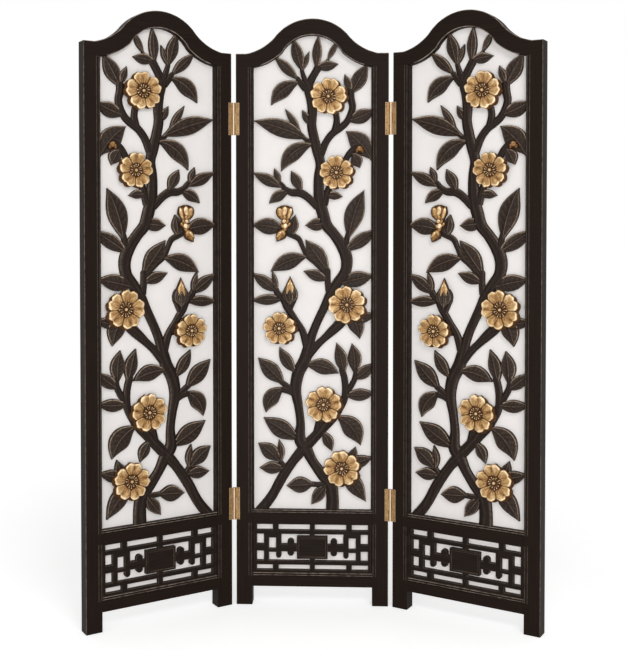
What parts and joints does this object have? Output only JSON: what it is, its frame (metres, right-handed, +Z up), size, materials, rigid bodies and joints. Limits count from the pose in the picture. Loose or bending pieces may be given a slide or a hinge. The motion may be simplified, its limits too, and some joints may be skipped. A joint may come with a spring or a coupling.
{
  "type": "folding screen",
  "caption": "Folding room divider of hinged arched wooden panels with openwork flowering-branch carving above fretwork, backed with pale board and standing on stile feet.",
  "frame": {"origin": "bottom centre of the bounding box with the panels folded as pictured", "axes": "+Z up, centre panel along X, fronts towards -Y"},
  "size_m": [1.354, 0.311, 1.827],
  "materials": {
    "frame_wood": "dark espresso stain, satin",
    "carved_wood": "dark stain with rubbed bronze edges",
    "fretwork_wood": "dark espresso stain, satin",
    "gilt_wood": "antique gold paint over carved wood",
    "backing_board": "off-white matt paint",
    "brass": "aged satin brass"
  },
  "bodies": {
    "centre_panel": {"centre_backing_strips": "frame_wood", "centre_beading": "frame_wood", "centre_bottom_rail": "frame_wood", "centre_branch_carving": "carved_wood", "centre_buds": "gilt_wood", "centre_flower_centres": "gilt_wood", "centre_flowers": "gilt_wood", "centre_hinge_screws": "brass", "centre_lattice": "fretwork_wood", "centre_left_stile": "frame_wood", "centre_lower_backing": "backing_board", "centre_medallion": "fretwork_wood", "centre_mid_rail": "frame_wood", "centre_right_stile": "frame_wood", "centre_top_rail": "frame_wood", "centre_upper_backing": "backing_board", "left_lower_hinge_inner_leaf": "brass", "left_lower_hinge_pin": "brass", "left_upper_hinge_inner_leaf": "brass", "left_upper_hinge_pin": "brass", "right_lower_hinge_inner_leaf": "brass", "right_lower_hinge_pin": "brass", "right_upper_hinge_inner_leaf": "brass", "right_upper_hinge_pin": "brass"},
    "left_panel": {"left_backing_strips": "frame_wood", "left_beading": "frame_wood", "left_bottom_rail": "frame_wood", "left_branch_carving": "carved_wood", "left_buds": "gilt_wood", "left_flower_centres": "gilt_wood", "left_flowers": "gilt_wood", "left_hinge_screws": "brass", "left_lattice": "fretwork_wood", "left_left_stile": "frame_wood", "left_lower_backing": "backing_board", "left_lower_hinge_outer_leaf": "brass", "left_medallion": "fretwork_wood", "left_mid_rail": "frame_wood", "left_right_stile": "frame_wood", "left_top_rail": "frame_wood", "left_upper_backing": "backing_board", "left_upper_hinge_outer_leaf": "brass"},
    "right_panel": {"right_backing_strips": "frame_wood", "right_beading": "frame_wood", "right_bottom_rail": "frame_wood", "right_branch_carving": "carved_wood", "right_buds": "gilt_wood", "right_flower_centres": "gilt_wood", "right_flowers": "gilt_wood", "right_hinge_screws": "brass", "right_lattice": "fretwork_wood", "right_left_stile": "frame_wood", "right_lower_backing": "backing_board", "right_lower_hinge_outer_leaf": "brass", "right_medallion": "fretwork_wood", "right_mid_rail": "frame_wood", "right_right_stile": "frame_wood", "right_top_rail": "frame_wood", "right_upper_backing": "backing_board", "right_upper_hinge_outer_leaf": "brass"}
  },
  "joints": [
    {"name": "left_fold", "type": "hinge", "parent": "centre_panel", "child": "left_panel", "pos_m": [-0.25392, 0.11046, 0], "axis": [0, 0, 1], "range_deg": [-34, 146]},
    {"name": "right_fold", "type": "hinge", "parent": "centre_panel", "child": "right_panel", "pos_m": [0.23208, 0.11046, 0], "axis": [0, 0, -1], "range_deg": [-28, 62]}
  ]
}
